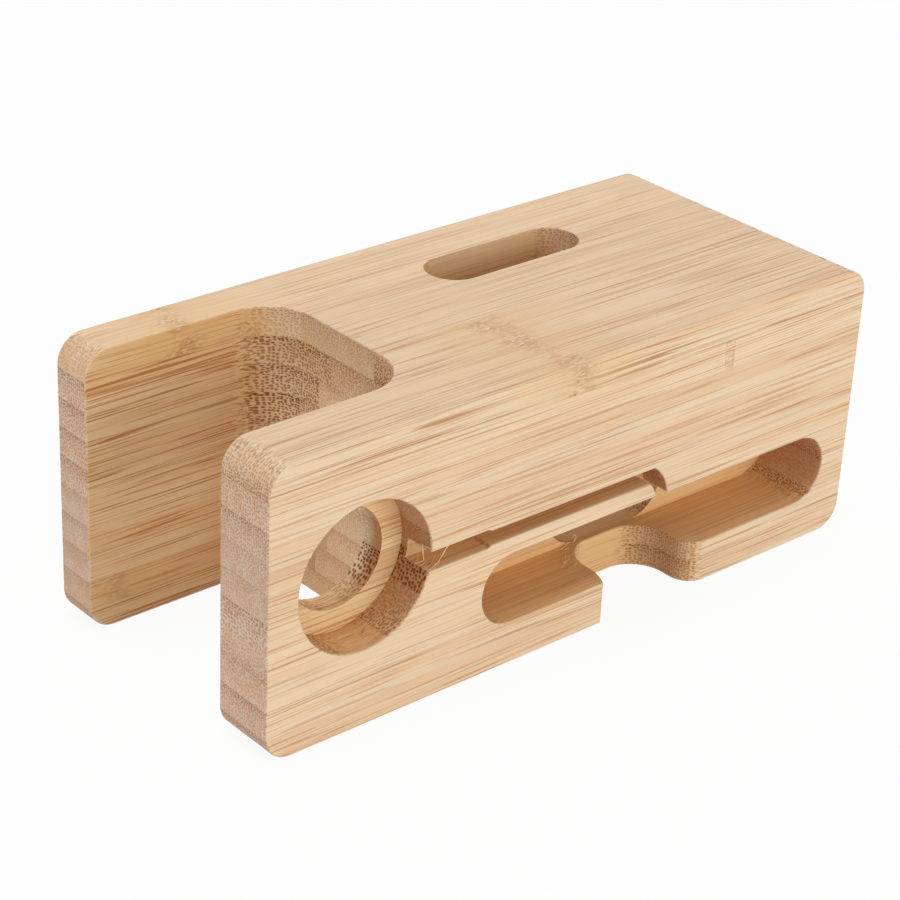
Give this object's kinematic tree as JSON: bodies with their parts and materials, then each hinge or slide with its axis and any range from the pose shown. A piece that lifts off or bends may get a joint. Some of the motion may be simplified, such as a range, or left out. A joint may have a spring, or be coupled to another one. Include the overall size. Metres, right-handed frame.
{
  "type": "charging station organizer",
  "caption": "Bamboo desk block with a phone pocket, a round watch charger seat with cable channel, a wide watch band slot and a cable outlet slot.",
  "frame": {"origin": "middle of the bottom face, as the block lies in the picture", "axes": "+X along the grain and the block's length, from the pronged end to the solid end; +Y from the face with the phone pocket and charger seat to the face that stands on the desk in use; +Z up, as pictured. In use the block is turned so that -Y points up and +Z to the back."},
  "size_m": [0.14, 0.0604, 0.055],
  "materials": {
    "bamboo": "fine sanded, unvarnished laminated bamboo"
  },
  "bodies": {
    "root": {"ply_01_back": "bamboo", "ply_01_front": "bamboo", "ply_01_middle": "bamboo", "ply_02_back": "bamboo", "ply_02_front": "bamboo", "ply_02_middle": "bamboo", "ply_03_back": "bamboo", "ply_03_front_left": "bamboo", "ply_03_front_right": "bamboo", "ply_03_middle_left": "bamboo", "ply_03_middle_right": "bamboo", "ply_04_back": "bamboo", "ply_04_front_left": "bamboo", "ply_04_front_right": "bamboo", "ply_04_middle_left": "bamboo", "ply_04_middle_right": "bamboo", "ply_05_back": "bamboo", "ply_05_front_left": "bamboo", "ply_05_front_right": "bamboo", "ply_05_middle": "bamboo", "ply_06_back": "bamboo", "ply_06_front_left": "bamboo", "ply_06_front_right": "bamboo", "ply_06_middle": "bamboo", "ply_07_back": "bamboo", "ply_07_front_left": "bamboo", "ply_07_front_right": "bamboo", "ply_07_middle": "bamboo", "ply_08_back": "bamboo", "ply_08_front": "bamboo", "ply_08_middle": "bamboo", "ply_09_back": "bamboo", "ply_09_front": "bamboo", "ply_09_middle": "bamboo", "ply_10_back": "bamboo", "ply_10_front": "bamboo", "ply_10_middle": "bamboo"}
  },
  "joints": []
}
